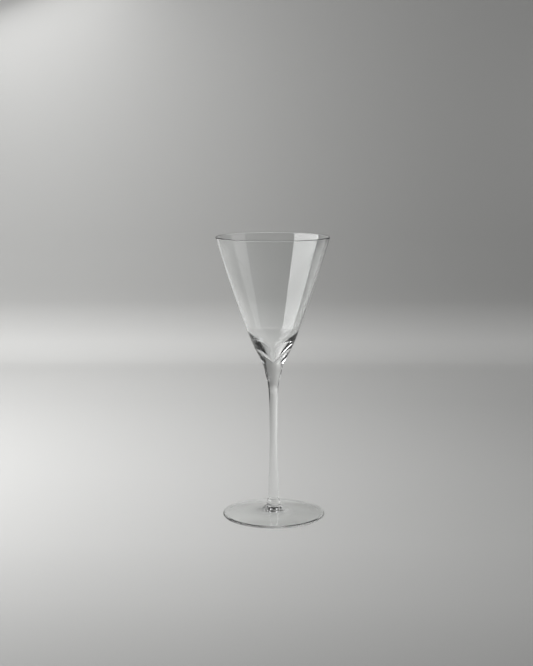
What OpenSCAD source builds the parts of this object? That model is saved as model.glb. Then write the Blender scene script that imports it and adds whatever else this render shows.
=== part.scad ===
// Stemmed cocktail glass in clear blown glass, made as three pieces that are fused while hot:
// a thin V-shaped bowl with a thick bottom, a drawn solid stem and a spun disc foot.
// Millimetres, +Z up. The origin is the middle of the surface that the foot stands on.

/* [Overall] */
// Height of the whole glass, from the table to the rim
glass_height = 230; // [190:1:280]

/* [Bowl] */
// Outside diameter at the rim
rim_diameter = 92.4; // [76:0.2:112]
// Wall thickness at the rim, where the lip is fire-polished to a full round
rim_wall = 1.1; // [0.8:0.05:1.6]
// Wall thickness at the shoulder, where the inside starts to thicken
low_wall = 1.2; // [0.9:0.05:1.8]
// Height of the bowl from its joint with the stem up to the rim
bowl_height = 109; // [92:1:132]
// Outside diameter where the long wall ends and rounds in
hip_diameter = 38.6; // [33:0.2:46]
// Height of that point above the joint with the stem
hip_height = 28; // [24:0.5:32]
// How far the wall keeps its direction while it rounds in below the hip
hip_pull = 14.5; // [10:0.5:16]
// Degrees that the wall is turned off its chord at both ends, so that it swells outward a little
wall_bow = 2.1; // [0:0.1:4]
// Height above the joint where the inside wall starts to thicken
shoulder_height = 33; // [29:0.5:40]
// How far the inside wall keeps its direction below the shoulder
shoulder_pull = 9; // [5:0.5:11]
// Solid glass under the tip of the inside
floor_thickness = 9; // [7:0.5:12]
// Radius of the rounded tip of the inside
tip_radius = 0.8; // [0.4:0.1:1.5]
// Half angle of the inside cone that ends in the tip
tip_angle = 38; // [30:1:44]
// How far that cone keeps its direction above the tip
tip_pull = 11; // [8:0.5:13]

/* [Stem] */
// Diameter where the flared top of the stem meets the bowl
neck_diameter = 14.2; // [12:0.2:17]
// Angle from upright of the flare where the stem meets the bowl
neck_angle = 10; // [6:0.5:14]
// How far the flare keeps that angle into the bowl
neck_pull_up = 9; // [6:0.5:11]
// How far the flare keeps that angle down the stem
neck_pull_down = 12; // [8:0.5:13]
// Diameter of the stem at its waist, the thinnest place
waist_diameter = 6.2; // [5:0.1:7.6]
// Height of the waist above the table
waist_height = 66; // [54:1:78]
// Length over which the stem stays slim below its waist
waist_pull = 20; // [14:1:26]
// Length of the flare at the top of the stem, above its slim stretch
flare_length = 5; // [3:0.5:8]
// Diameter of the stem where it meets the foot
ankle_diameter = 9; // [7.6:0.1:10.8]
// Angle from upright of the stem's side where it meets the foot
ankle_angle = 1.5; // [0:0.5:3]
// How far the side of the stem keeps that angle above the foot
ankle_pull = 20; // [12:1:24]

/* [Foot] */
// Diameter of the foot
foot_diameter = 83.8; // [68:0.2:102]
// Height of the foot piece, from the table to its joint with the stem
foot_height = 13.2; // [11.5:0.1:15.5]
// Thickness of the foot at its rounded edge
edge_thickness = 1.8; // [1.4:0.1:2.4]
// Diameter of the button in the middle of the foot, where it is widest
button_diameter = 12.2; // [11.2:0.2:14.4]
// Height at which the button is widest
button_height = 8.6; // [7.8:0.1:10]
// Length over which the side of the button stays upright above that height
button_pull = 2; // [1:0.25:2.5]
// Angle from upright at which the round top of the button leaves the stem
button_turn = 50; // [35:5:65]
// Length over which the top of the button keeps that angle, where the button is wide enough for it
button_round = 1.6; // [1:0.1:2]
// Diameter where the fillet under the button runs out into the disc
root_diameter = 16.4; // [15.4:0.2:20]
// Height of the upper face of the disc at that diameter
root_height = 6.7; // [6:0.1:7.4]
// Length over which the fillet follows the button
fillet_pull_up = 0.8; // [0.4:0.1:1]
// Length over which the fillet follows the disc, where the disc starts far enough out for it
fillet_pull_out = 1.2; // [0.6:0.1:1.6]
// Width of the flat ring that the foot rests on
rest_width = 2.5; // [2:0.25:4]
// Depth of the hollow under the middle of the foot
hollow_depth = 4.5; // [3.6:0.1:5]

/* [Hidden] */

curve_steps = 24; // straight pieces in each blended curve
round_steps = 10; // straight pieces in each small round
turn_facets = 144; // facets of a full turn in the preview mesh

rim_r = rim_diameter / 2;
hip_r = hip_diameter / 2;
neck_r = neck_diameter / 2;
waist_r = waist_diameter / 2;
ankle_r = ankle_diameter / 2;
foot_r = foot_diameter / 2;
button_r = button_diameter / 2;
root_r = root_diameter / 2;

neck_z = glass_height - bowl_height;
hip_z = neck_z + hip_height;
shoulder_z = neck_z + shoulder_height;
tip_z = neck_z + floor_thickness;

hip = [hip_r, hip_z];
neck = [neck_r, neck_z];
waist = [waist_r, waist_height];
ankle = [ankle_r, foot_height];
button = [button_r, button_height];
root = [root_r, root_height];

wall_chord = norm([rim_r, glass_height] - hip);
wall_lean = atan((rim_r - hip_r) / (glass_height - hip_z));
rim_angle = wall_lean - wall_bow;
hip_angle = wall_lean + wall_bow;
wall_pull = wall_chord / 3;

edge_r = edge_thickness / 2;
disc_slope = (root_height - edge_thickness) / (foot_r - edge_r - root_r);
disc_angle = atan(disc_slope);
round_length = min(button_round, (button_r - ankle_r) / sin(button_turn));
fillet_length = min(fillet_pull_out, root_r - button_r);
rest_r = foot_r - edge_r - rest_width;
hollow_r = (rest_r * rest_r + hollow_depth * hollow_depth) / (2 * hollow_depth);

// Points of a cubic Bezier curve, both ends included
function curve(a, b, c, d) = [
    for (i = [0:curve_steps])
        let (t = i / curve_steps, s = 1 - t)
            s * s * s * a + 3 * s * s * t * b + 3 * s * t * t * c + t * t * t * d
];

// Points of an arc about a centre, both ends included
function arc(centre, radius, from, to) = [
    for (i = [0:round_steps])
        let (angle = from + (to - from) * i / round_steps)
            centre + radius * [cos(angle), sin(angle)]
];

// The point reached from a point by going up at an angle from upright, leaning outward
function ahead(point, angle, length) = point + length * [sin(angle), cos(angle)];

module turned(outline) {
    rotate_extrude($fn = turn_facets) polygon(outline);
}

// Blown V with a rounded lip, an even thin wall and a thick bottom around a pointed well
module bowl() {
    underside = curve(neck, ahead(neck, neck_angle, neck_pull_up), ahead(hip, hip_angle, -hip_pull), hip);
    lip_r = rim_wall / 2;
    lip = arc([rim_r - lip_r, glass_height - lip_r], lip_r, -rim_angle, 180 - rim_angle);
    lip_out = lip[0];
    lip_in = lip[round_steps];
    wall = curve(hip, ahead(hip, hip_angle, wall_pull), ahead(lip_out, rim_angle, -wall_pull), lip_out);
    shoulder = ahead(hip, hip_angle, (shoulder_z - hip_z) / cos(hip_angle))
        - [low_wall / cos(hip_angle), 0];
    lining = curve(
        lip_in,
        ahead(lip_in, rim_angle, -wall_pull),
        ahead(shoulder, hip_angle, wall_pull),
        shoulder
    );
    tip_centre = [0, tip_z + tip_radius];
    tip_side = tip_centre + tip_radius * [cos(tip_angle), -sin(tip_angle)];
    well = curve(
        shoulder,
        ahead(shoulder, hip_angle, -shoulder_pull),
        ahead(tip_side, tip_angle, tip_pull),
        tip_side
    );
    tip = [for (p = arc(tip_centre, tip_radius, -tip_angle, -90)) [max(p[0], 0), p[1]]];
    color([0.86, 0.9, 0.9, 0.5]) turned(concat([[0, neck_z]], underside, wall, lip, lining, well, tip));
}

// Solid drawn rod, flared where it joins the bowl and a little thicker where it joins the foot
module stem() {
    lower = curve(
        ankle,
        ahead(ankle, -ankle_angle, ankle_pull),
        [waist_r, waist_height - waist_pull],
        waist
    );
    upper = curve(
        waist,
        [waist_r, neck_z - flare_length],
        ahead(neck, neck_angle, -neck_pull_down),
        neck
    );
    color([0.84, 0.88, 0.89, 0.5]) turned(concat([[0, foot_height]], lower, upper, [[0, neck_z]]));
}

// Spun, slightly conical disc with a round button in the middle, a rounded edge and a hollow underside
// that leaves a flat rest ring
module foot() {
    side = curve(
        ankle,
        ahead(ankle, -button_turn, -round_length),
        [button_r, button_height + button_pull],
        button
    );
    fillet = curve(
        button,
        [button_r, button_height - fillet_pull_up],
        [root_r - fillet_length, root_height + disc_slope * fillet_length],
        root
    );
    edge = arc([foot_r - edge_r, edge_r], edge_r, 90 - disc_angle, -90);
    hollow_angle = asin(rest_r / hollow_r);
    hollow = arc([0, hollow_depth - hollow_r], hollow_r, 90 - hollow_angle, 90);
    color([0.85, 0.89, 0.89, 0.5]) turned(concat([[0, foot_height]], side, fillet, edge, hollow));
}

bowl();
stem();
foot();
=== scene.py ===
"""Looks for the stemmed cocktail glass: a blown bowl, a drawn stem and a spun foot in clear glass."""
import math

import bpy
import numpy as np
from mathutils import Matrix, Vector


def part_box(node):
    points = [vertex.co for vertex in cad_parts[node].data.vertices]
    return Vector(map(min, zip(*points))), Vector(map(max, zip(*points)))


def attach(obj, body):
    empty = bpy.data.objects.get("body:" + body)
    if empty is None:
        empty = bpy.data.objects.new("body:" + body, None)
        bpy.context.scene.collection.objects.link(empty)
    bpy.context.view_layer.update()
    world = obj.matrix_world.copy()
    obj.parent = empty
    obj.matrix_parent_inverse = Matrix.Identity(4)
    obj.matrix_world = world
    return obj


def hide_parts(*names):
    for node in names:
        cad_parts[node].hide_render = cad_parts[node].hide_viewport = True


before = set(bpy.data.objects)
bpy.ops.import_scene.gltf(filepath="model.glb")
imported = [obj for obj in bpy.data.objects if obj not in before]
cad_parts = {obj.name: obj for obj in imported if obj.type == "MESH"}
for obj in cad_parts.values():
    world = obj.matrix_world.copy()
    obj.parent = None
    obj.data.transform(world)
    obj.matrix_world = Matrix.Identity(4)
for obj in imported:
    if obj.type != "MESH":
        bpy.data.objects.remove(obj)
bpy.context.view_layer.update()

MM = 0.001

# Outline of the glass, in metres. The sizes that the frame gives are read from it.
RIM_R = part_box("bowl")[1].x
RIM_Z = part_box("bowl")[1].z
NECK_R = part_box("stem")[1].x
NECK_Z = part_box("bowl")[0].z
ANKLE_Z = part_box("stem")[0].z
FOOT_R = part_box("foot")[1].x

RIM_WALL = 1.1 * MM
LOW_WALL = 1.2 * MM
HIP_R = 19.3 * MM
HIP_Z = 149 * MM
HIP_PULL = 14.5 * MM
WALL_BOW = math.radians(2.1)
SHOULDER_Z = 154 * MM
SHOULDER_PULL = 9 * MM
TIP_Z = 130 * MM
TIP_RADIUS = 0.8 * MM
TIP_ANGLE = math.radians(38)
TIP_PULL = 11 * MM

NECK_ANGLE = math.radians(10)
NECK_PULL_UP = 9 * MM
NECK_PULL_DOWN = 12 * MM
FLARE_LENGTH = 5 * MM
WAIST_R = 3.1 * MM
WAIST_Z = 66 * MM
WAIST_PULL = 20 * MM
ANKLE_R = 4.5 * MM
ANKLE_ANGLE = math.radians(1.5)
ANKLE_PULL = 20 * MM

EDGE_R = 0.9 * MM
BUTTON_R = 6.1 * MM
BUTTON_Z = 8.6 * MM
BUTTON_PULL = 2 * MM
BUTTON_TURN = math.radians(50)
BUTTON_ROUND = 1.6 * MM
ROOT_R = 8.2 * MM
ROOT_Z = 6.7 * MM
FILLET_PULL_UP = 0.8 * MM
FILLET_PULL_OUT = 1.2 * MM
REST_WIDTH = 2.5 * MM
HOLLOW_DEPTH = 4.5 * MM

CURVE_STEPS = 72
ROUND_STEPS = 16
HOLLOW_STEPS = 40
TURN_STEPS = 288

# How far the hand-made glass leans to its left, as a slope
LEAN = 0.0043

# Faint clouds in the tint and shallow waves in the surface. Scales are per metre.
CLOUD_SCALE = 60
CLOUD_TINTS = ((0.3, (0.972, 0.981, 0.977, 1)), (0.7, (0.992, 0.996, 0.994, 1)))
WAVE_SCALE = 45
WAVE_HEIGHT = 0.03 * MM
# Both are drawn out along the height of the glass
DRAWN_OUT = (1, 1, 0.35)
GLASS_IOR = 1.5
# Light that goes straight through one surface
PASSED_LIGHT = (0.97, 0.975, 0.97, 1)


def curve(a, b, c, d, steps=CURVE_STEPS):
    """Points of a cubic Bezier curve, both ends included."""
    t = np.linspace(0, 1, steps + 1)[:, None]
    a, b, c, d = (np.array(p, float) for p in (a, b, c, d))
    return (1 - t) ** 3 * a + 3 * (1 - t) ** 2 * t * b + 3 * (1 - t) * t**2 * c + t**3 * d


def arc(centre, radius, start, end, steps=ROUND_STEPS):
    """Points of an arc about a centre, both ends included. Angles in radians."""
    angle = np.linspace(start, end, steps + 1)
    return np.array(centre) + radius * np.stack([np.cos(angle), np.sin(angle)], 1)


def ahead(point, angle, length):
    """The point reached from a point by going up at an angle from upright, leaning outward."""
    return np.array(point) + length * np.array([math.sin(angle), math.cos(angle)])


def lathe(name, outline, fused_rings):
    """Closed solid of revolution about Z. fused_rings are the outline's edges that face another piece."""
    points = np.array(outline)
    turn = np.linspace(0, 2 * math.pi, TURN_STEPS, endpoint=False)
    verts, rings = [], []
    for r, z in points:
        if r < 1e-9:
            rings.append([len(verts)] * TURN_STEPS)
            verts.append((-LEAN * z, 0.0, z))
        else:
            rings.append(list(range(len(verts), len(verts) + TURN_STEPS)))
            verts.extend((r * math.cos(a) - LEAN * z, r * math.sin(a), z) for a in turn)
    faces, slots = [], []
    for k, (low, high) in enumerate(zip(rings, rings[1:])):
        for i in range(TURN_STEPS):
            j = (i + 1) % TURN_STEPS
            corners = [low[i], low[j], high[j], high[i]]
            faces.append(list(dict.fromkeys(corners)))
            slots.append(1 if k in fused_rings else 0)
    mesh = bpy.data.meshes.new(name)
    mesh.from_pydata(verts, [], faces)
    mesh.polygons.foreach_set("use_smooth", [True] * len(faces))
    mesh.polygons.foreach_set("material_index", slots)
    mesh.set_sharp_from_angle(angle=math.radians(35))
    piece = bpy.data.objects.new(name, mesh)
    bpy.context.scene.collection.objects.link(piece)
    return piece


def bowl_outline():
    neck, hip = (NECK_R, NECK_Z), (HIP_R, HIP_Z)
    lean = math.atan((RIM_R - HIP_R) / (RIM_Z - HIP_Z))
    rim_angle, hip_angle = lean - WALL_BOW, lean + WALL_BOW
    wall_pull = math.hypot(RIM_R - HIP_R, RIM_Z - HIP_Z) / 3
    underside = curve(
        neck, ahead(neck, NECK_ANGLE, NECK_PULL_UP), ahead(hip, hip_angle, -HIP_PULL), hip
    )
    lip_r = RIM_WALL / 2
    lip = arc([RIM_R - lip_r, RIM_Z - lip_r], lip_r, -rim_angle, math.pi - rim_angle)
    lip_out, lip_in = lip[0], lip[-1]
    wall = curve(
        hip, ahead(hip, hip_angle, wall_pull), ahead(lip_out, rim_angle, -wall_pull), lip_out
    )
    shoulder = ahead(hip, hip_angle, (SHOULDER_Z - HIP_Z) / math.cos(hip_angle))
    shoulder[0] -= LOW_WALL / math.cos(hip_angle)
    lining = curve(
        lip_in, ahead(lip_in, rim_angle, -wall_pull), ahead(shoulder, hip_angle, wall_pull), shoulder
    )
    tip = arc([0, TIP_Z + TIP_RADIUS], TIP_RADIUS, -TIP_ANGLE, -math.pi / 2)
    tip[-1, 0] = 0
    tip_side = tip[0]
    well = curve(
        shoulder,
        ahead(shoulder, hip_angle, -SHOULDER_PULL),
        ahead(tip_side, TIP_ANGLE, TIP_PULL),
        tip_side,
    )
    parts = [[[0, NECK_Z]], underside, wall[1:], lip[1:], lining[1:], well[1:], tip[1:]]
    return np.concatenate(parts)


def stem_outline():
    ankle, waist, neck = (ANKLE_R, ANKLE_Z), (WAIST_R, WAIST_Z), (NECK_R, NECK_Z)
    lower = curve(
        ankle, ahead(ankle, -ANKLE_ANGLE, ANKLE_PULL), [WAIST_R, WAIST_Z - WAIST_PULL], waist
    )
    upper = curve(
        waist, [WAIST_R, NECK_Z - FLARE_LENGTH], ahead(neck, NECK_ANGLE, -NECK_PULL_DOWN), neck
    )
    return np.concatenate([[[0, ANKLE_Z]], lower, upper[1:], [[0, NECK_Z]]])


def foot_outline():
    ankle, button, root = (ANKLE_R, ANKLE_Z), (BUTTON_R, BUTTON_Z), (ROOT_R, ROOT_Z)
    disc_slope = (ROOT_Z - 2 * EDGE_R) / (FOOT_R - EDGE_R - ROOT_R)
    fillet = curve(
        root,
        [ROOT_R - FILLET_PULL_OUT, ROOT_Z + disc_slope * FILLET_PULL_OUT],
        [BUTTON_R, BUTTON_Z - FILLET_PULL_UP],
        button,
    )
    side = curve(
        button,
        [BUTTON_R, BUTTON_Z + BUTTON_PULL],
        ahead(ankle, -BUTTON_TURN, -BUTTON_ROUND),
        ankle,
    )
    rest_r = FOOT_R - EDGE_R - REST_WIDTH
    hollow_r = (rest_r**2 + HOLLOW_DEPTH**2) / (2 * HOLLOW_DEPTH)
    half = math.asin(rest_r / hollow_r)
    hollow = arc(
        [0, HOLLOW_DEPTH - hollow_r], hollow_r, math.pi / 2, math.pi / 2 - half, HOLLOW_STEPS
    )
    hollow[0, 0] = 0
    edge = arc([FOOT_R - EDGE_R, EDGE_R], EDGE_R, -math.pi / 2, math.pi / 2 - math.atan(disc_slope))
    return np.concatenate([hollow, edge, fillet, side[1:], [[0, ANKLE_Z]]])


def new_material(name):
    """A material with its node tree and its Principled shader."""
    material = bpy.data.materials.new(name)
    material.use_nodes = True
    tree = material.node_tree
    return material, tree, tree.nodes["Principled BSDF"]


def add_noise(tree, place, scale, detail):
    """Noise over the surface, from 0 to 1."""
    noise = tree.nodes.new("ShaderNodeTexNoise")
    noise.inputs["Scale"].default_value = scale
    noise.inputs["Detail"].default_value = detail
    tree.links.new(place, noise.inputs["Vector"])
    return noise.outputs["Fac"]


def add_relief(tree, shader, height, strength, distance):
    """Bumps on a shader's surface."""
    relief = tree.nodes.new("ShaderNodeBump")
    relief.inputs["Strength"].default_value = strength
    relief.inputs["Distance"].default_value = distance
    tree.links.new(height, relief.inputs["Height"])
    tree.links.new(relief.outputs["Normal"], shader.inputs["Normal"])


def let_soft_light_through(tree, shader):
    """Lets shadow rays and diffuse rays go straight through, a little dimmed."""
    path = tree.nodes.new("ShaderNodeLightPath")
    soft = tree.nodes.new("ShaderNodeMath")
    soft.operation = "MAXIMUM"
    through = tree.nodes.new("ShaderNodeBsdfTransparent")
    through.inputs["Color"].default_value = PASSED_LIGHT
    pick = tree.nodes.new("ShaderNodeMixShader")
    tree.links.new(path.outputs["Is Shadow Ray"], soft.inputs[0])
    tree.links.new(path.outputs["Is Diffuse Ray"], soft.inputs[1])
    tree.links.new(soft.outputs[0], pick.inputs[0])
    tree.links.new(shader.outputs[0], pick.inputs[1])
    tree.links.new(through.outputs[0], pick.inputs[2])
    tree.links.new(pick.outputs[0], tree.nodes["Material Output"].inputs["Surface"])


def clear_glass():
    """Clear glass with a faint uneven tint and the slight waviness of hand-worked glass."""
    material, tree, shader = new_material("clear_glass")
    place = tree.nodes.new("ShaderNodeTexCoord")
    drawn = tree.nodes.new("ShaderNodeMapping")
    drawn.inputs["Scale"].default_value = DRAWN_OUT
    tree.links.new(place.outputs["Object"], drawn.inputs["Vector"])
    tint = tree.nodes.new("ShaderNodeValToRGB")
    for stop, (position, colour) in zip(tint.color_ramp.elements, CLOUD_TINTS):
        stop.position = position
        stop.color = colour
    cloud = add_noise(tree, drawn.outputs["Vector"], CLOUD_SCALE, 2)
    tree.links.new(cloud, tint.inputs["Fac"])
    tree.links.new(tint.outputs["Color"], shader.inputs["Base Color"])
    wave = add_noise(tree, drawn.outputs["Vector"], WAVE_SCALE, 1)
    add_relief(tree, shader, wave, 1, WAVE_HEIGHT)
    shader.inputs["Transmission Weight"].default_value = 1
    shader.inputs["IOR"].default_value = GLASS_IOR
    shader.inputs["Roughness"].default_value = 0
    let_soft_light_through(tree, shader)
    return material


def fused_glass():
    """The face of a hot-fused joint. Light crosses it as if it were not there."""
    material, tree, shader = new_material("fused_glass")
    tree.nodes.remove(shader)
    through = tree.nodes.new("ShaderNodeBsdfTransparent")
    tree.links.new(through.outputs[0], tree.nodes["Material Output"].inputs["Surface"])
    return material


def build_glass():
    clear, fused = clear_glass(), fused_glass()
    bowl = bowl_outline()
    stem = stem_outline()
    foot = foot_outline()
    for node, outline, joints in (
        ("bowl", bowl, {0}),
        ("stem", stem, {0, len(stem) - 2}),
        ("foot", foot, {len(foot) - 2}),
    ):
        piece = lathe("clear_" + node, outline, joints)
        piece.data.materials.append(clear)
        piece.data.materials.append(fused)
        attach(piece, "root")
        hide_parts(node)


# Camera, looking along +Y
CAMERA_DISTANCE = 1.0195
CAMERA_HEIGHT = 0.308
CAMERA_PITCH = math.radians(8.72)
CAMERA_YAW = math.radians(0.338)
SENSOR_WIDTH = 36
FOCAL_LENGTH = 68.65

# Paper sweep: a floor that curves up into a wall
SWEEP_START = 0.70
SWEEP_RADIUS = 0.08
SWEEP_FRONT = -3
SWEEP_SIDE = 3
SWEEP_TOP = 2.5
BEND_STEPS = 32
# A hair below the foot, so that the rest ring and the floor do not share a face
FLOOR_GAP = 0.1 * MM

# Paper: its grey, the share of blue in it, and its tooth
PAPER = 0.46
PAPER_WARMTH = 0.985
PAPER_ROUGHNESS = 0.9
TOOTH_SCALE = 900
TOOTH_HEIGHT = 0.05 * MM
TOOTH_TONES = (0.97, 1.03)
# Painted light and shade on the paper at distances along it, as shares of its grey: back over the floor,
# then up the wall, with painted shade at both ends
PAINTED_LIGHT_ALONG_PAPER = (
    (-0.60, 0.07),
    (-0.42, 0.25),
    (-0.32, 0.86),
    (-0.20, 1.02),
    (-0.08, 1.10),
    (0.12, 1.09),
    (0.45, 1.01),
    (0.66, 1.01),
    (0.78, 1.14),
    (0.88, 0.94),
    (0.95, 0.91),
    (1.32, 1.0),
    (1.50, 0.07),
)
# Share of that painted light at distances across it, from left to right: painted shade towards the right
# and at both sides
PAINTED_LIGHT_ACROSS_PAPER = (
    (-1.40, 0.07),
    (-1.00, 1.0),
    (-0.05, 1.0),
    (0.42, 0.85),
    (0.56, 0.07),
)

# Softboxes: name, place, aim, size, radiance, whether the glass mirrors and refracts it
LAMP_AIM = (0, 0.05, 0.1)
SOFTBOXES = (
    ("key", (-1.2, -0.1, 1.0), LAMP_AIM, (1.7, 1.1), 4.2, True),
    ("fill", (1.2, 0.15, 1.2), LAMP_AIM, (1.7, 1.2), 0.9, True),
    ("floor_wash", (-0.55, 0.1, 0.5), (-0.35, 0.1, 0), (0.5, 0.5), 4.4, False),
    ("bend_wash", (-0.35, 0.6, 0.5), (-0.15, 0.6, 0), (0.3, 0.3), 2.1, False),
    ("side_wash", (0.7, 0.7, 0.3), (0.6, 0.8, 0.2), (0.4, 0.4), 1.0, False),
)
ROOM_TONE = 0.006
BOUNCES = 24


def build_camera():
    data = bpy.data.cameras.new("camera")
    data.sensor_width = SENSOR_WIDTH
    data.lens = FOCAL_LENGTH
    camera = bpy.data.objects.new("camera", data)
    camera.location = (0, -CAMERA_DISTANCE, CAMERA_HEIGHT)
    camera.rotation_euler = (math.pi / 2 - CAMERA_PITCH, 0, CAMERA_YAW)
    bpy.context.scene.collection.objects.link(camera)
    bpy.context.scene.camera = camera


def tone_along(tree, distance, tones, colour):
    """Colour that follows a table of tones along a distance."""
    start, end = tones[0][0], tones[-1][0]
    span = tree.nodes.new("ShaderNodeMapRange")
    span.inputs["From Min"].default_value = start
    span.inputs["From Max"].default_value = end
    ramp = tree.nodes.new("ShaderNodeValToRGB")
    while len(ramp.color_ramp.elements) < len(tones):
        ramp.color_ramp.elements.new(1)
    for stop, (place, tone) in zip(ramp.color_ramp.elements, tones):
        stop.position = (place - start) / (end - start)
        stop.color = (*(tone * c for c in colour), 1)
    tree.links.new(distance, span.inputs["Value"])
    tree.links.new(span.outputs["Result"], ramp.inputs["Fac"])
    return ramp.outputs["Color"]


def backdrop_material():
    """Matt paper with a fine tooth, with painted light and shade along and across it, that darkens into
    painted shade towards its edges.
    """
    material, tree, shader = new_material("backdrop")
    shader.inputs["Roughness"].default_value = PAPER_ROUGHNESS
    shader.inputs["Specular IOR Level"].default_value = 0.2
    place = tree.nodes.new("ShaderNodeTexCoord").outputs["Object"]
    axes = tree.nodes.new("ShaderNodeSeparateXYZ")
    along = tree.nodes.new("ShaderNodeMath")
    tree.links.new(place, axes.inputs[0])
    tree.links.new(axes.outputs["Y"], along.inputs[0])
    tree.links.new(axes.outputs["Z"], along.inputs[1])
    paper = (PAPER, PAPER, PAPER * PAPER_WARMTH)
    # The paper's grey, times painted light and shade along the sweep and across it
    paper_with_painted_light = tree.nodes.new("ShaderNodeVectorMath")
    paper_with_painted_light.operation = "MULTIPLY"
    tree.links.new(tone_along(tree, along.outputs[0], PAINTED_LIGHT_ALONG_PAPER, paper), paper_with_painted_light.inputs[0])
    tree.links.new(tone_along(tree, axes.outputs["X"], PAINTED_LIGHT_ACROSS_PAPER, (1, 1, 1)), paper_with_painted_light.inputs[1])
    tooth = add_noise(tree, place, TOOTH_SCALE, 3)
    grain = tree.nodes.new("ShaderNodeMapRange")
    grain.inputs["To Min"].default_value, grain.inputs["To Max"].default_value = TOOTH_TONES
    grained = tree.nodes.new("ShaderNodeVectorMath")
    grained.operation = "SCALE"
    tree.links.new(tooth, grain.inputs["Value"])
    tree.links.new(paper_with_painted_light.outputs["Vector"], grained.inputs[0])
    tree.links.new(grain.outputs["Result"], grained.inputs["Scale"])
    tree.links.new(grained.outputs["Vector"], shader.inputs["Base Color"])
    add_relief(tree, shader, tooth, 0.2, TOOTH_HEIGHT)
    return material


def build_backdrop():
    """Pale paper sweep: a floor that curves up into a wall."""
    wall_y = SWEEP_START + SWEEP_RADIUS
    profile = [[SWEEP_FRONT, -FLOOR_GAP], [SWEEP_START, -FLOOR_GAP]]
    bend = arc([SWEEP_START, SWEEP_RADIUS], SWEEP_RADIUS, -math.pi / 2, 0, BEND_STEPS)
    profile = np.concatenate([profile, bend[1:], [[wall_y, SWEEP_TOP]]])
    verts = [(x, y, z) for y, z in profile for x in (-SWEEP_SIDE, SWEEP_SIDE)]
    faces = [(2 * i, 2 * i + 1, 2 * i + 3, 2 * i + 2) for i in range(len(profile) - 1)]
    mesh = bpy.data.meshes.new("backdrop")
    mesh.from_pydata(verts, [], faces)
    mesh.polygons.foreach_set("use_smooth", [True] * len(faces))
    mesh.materials.append(backdrop_material())
    sweep = bpy.data.objects.new("backdrop", mesh)
    bpy.context.scene.collection.objects.link(sweep)


def softbox(name, place, aim, size, radiance, seen_in_glass):
    """Rectangular studio light, which the camera itself never sees."""
    data = bpy.data.lights.new(name, "AREA")
    data.shape = "RECTANGLE"
    data.size, data.size_y = size
    data.energy = radiance * math.pi * size[0] * size[1]
    lamp = bpy.data.objects.new(name, data)
    lamp.location = place
    lamp.rotation_euler = (Vector(aim) - Vector(place)).to_track_quat("-Z", "Y").to_euler()
    lamp.visible_camera = False
    lamp.visible_glossy = seen_in_glass
    lamp.visible_transmission = seen_in_glass
    bpy.context.scene.collection.objects.link(lamp)


def build_lights():
    world = bpy.data.worlds.new("studio")
    world.use_nodes = True
    world.node_tree.nodes["Background"].inputs["Color"].default_value = (*[ROOM_TONE] * 3, 1)
    bpy.context.scene.world = world
    for lamp in SOFTBOXES:
        softbox(*lamp)


def set_render_look():
    """Plain tones, and enough bounces for light that is trapped in the thick glass."""
    scene = bpy.context.scene
    scene.view_settings.view_transform = "Standard"
    scene.cycles.max_bounces = BOUNCES
    scene.cycles.glossy_bounces = BOUNCES
    scene.cycles.transmission_bounces = BOUNCES
    scene.cycles.transparent_max_bounces = 16


build_glass()
build_camera()
build_backdrop()
build_lights()
set_render_look()
